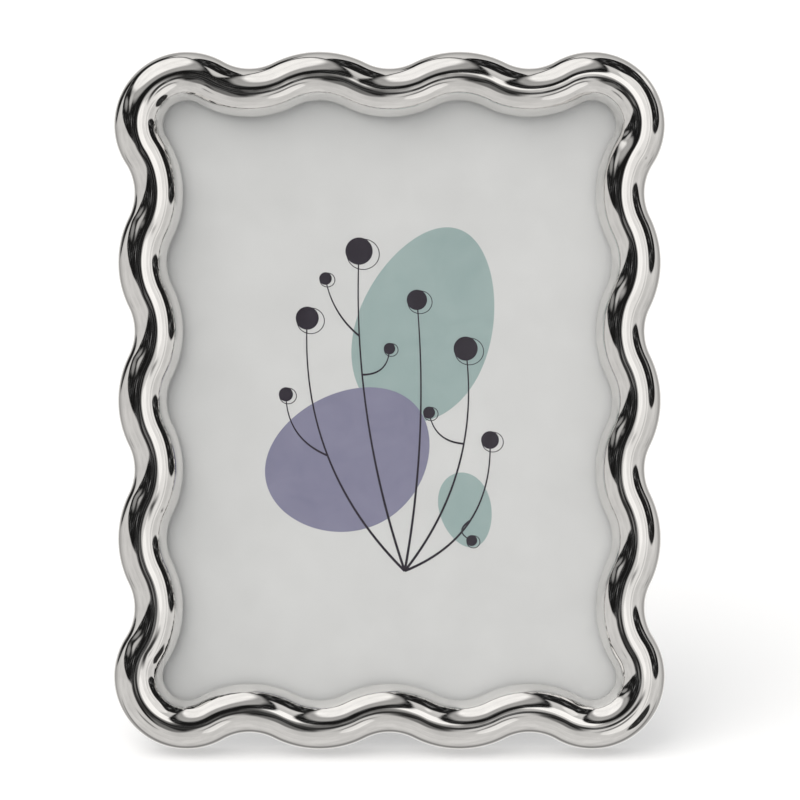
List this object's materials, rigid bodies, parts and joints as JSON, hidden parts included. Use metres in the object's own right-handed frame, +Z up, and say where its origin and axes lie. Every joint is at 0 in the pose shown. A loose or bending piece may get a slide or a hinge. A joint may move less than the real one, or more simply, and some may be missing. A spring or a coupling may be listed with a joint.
{
  "type": "wavy photo frame",
  "caption": "Standing photo frame with a wavy bright metal moulding, glass, back board, turn buttons, sawtooth hangers and a folding easel leg.",
  "frame": {"origin": "on the table, under the middle of the standing frame's bounding box", "axes": "+Z up, +X to the viewer's right, the picture faces -Y and leans back towards +Y"},
  "size_m": [0.1804, 0.0724, 0.2229],
  "materials": {
    "plated_metal": "polished and plated, mirror bright",
    "glass": "clear",
    "print": "printed sheet, matt",
    "card": "plain card",
    "board": "bare fibreboard",
    "lining": "dark flocked covering",
    "hinge_steel": "zinc plated",
    "button_steel": "nickel plated",
    "brassed_steel": "brassed",
    "leg_cover": "fibreboard with a dark covering"
  },
  "bodies": {
    "frame": {"frame_moulding": "plated_metal", "glass_pane": "glass", "picture_print": "print", "filler_card": "card", "back_board": "board", "board_lining": "lining", "hinge_board_leaf": "hinge_steel", "hinge_pin": "hinge_steel", "board_rivets": "hinge_steel", "button_screws": "button_steel", "hanger_portrait": "brassed_steel", "hanger_landscape": "brassed_steel", "hanger_nails": "brassed_steel"},
    "leg": {"easel_leg": "leg_cover", "hinge_leg_leaf": "hinge_steel", "leg_rivets": "hinge_steel"},
    "button_left_low": {"turn_button_left_low": "button_steel"},
    "button_left_mid": {"turn_button_left_mid": "button_steel"},
    "button_left_high": {"turn_button_left_high": "button_steel"},
    "button_right_low": {"turn_button_right_low": "button_steel"},
    "button_right_mid": {"turn_button_right_mid": "button_steel"},
    "button_right_high": {"turn_button_right_high": "button_steel"}
  },
  "joints": [
    {"name": "leg_fold", "type": "hinge", "parent": "frame", "child": "leg", "pos_m": [0, 0.01621, 0.13375], "axis": [-1, 0, 0], "range_deg": [0, 23]},
    {"name": "turn_left_low", "type": "hinge", "parent": "frame", "child": "button_left_low", "pos_m": [-0.08285, -0.00466, 0.06649], "axis": [0, 0.9659, -0.2588], "continuous": true},
    {"name": "turn_left_mid", "type": "hinge", "parent": "frame", "child": "button_left_mid", "pos_m": [-0.08285, 0.00705, 0.11019], "axis": [0, 0.9659, -0.2588], "continuous": true},
    {"name": "turn_left_high", "type": "hinge", "parent": "frame", "child": "button_left_high", "pos_m": [-0.08285, 0.01876, 0.15389], "axis": [0, 0.9659, -0.2588], "continuous": true},
    {"name": "turn_right_low", "type": "hinge", "parent": "frame", "child": "button_right_low", "pos_m": [0.08285, -0.00466, 0.06649], "axis": [0, 0.9659, -0.2588], "continuous": true},
    {"name": "turn_right_mid", "type": "hinge", "parent": "frame", "child": "button_right_mid", "pos_m": [0.08285, 0.00705, 0.11019], "axis": [0, 0.9659, -0.2588], "continuous": true},
    {"name": "turn_right_high", "type": "hinge", "parent": "frame", "child": "button_right_high", "pos_m": [0.08285, 0.01876, 0.15389], "axis": [0, 0.9659, -0.2588], "continuous": true}
  ]
}
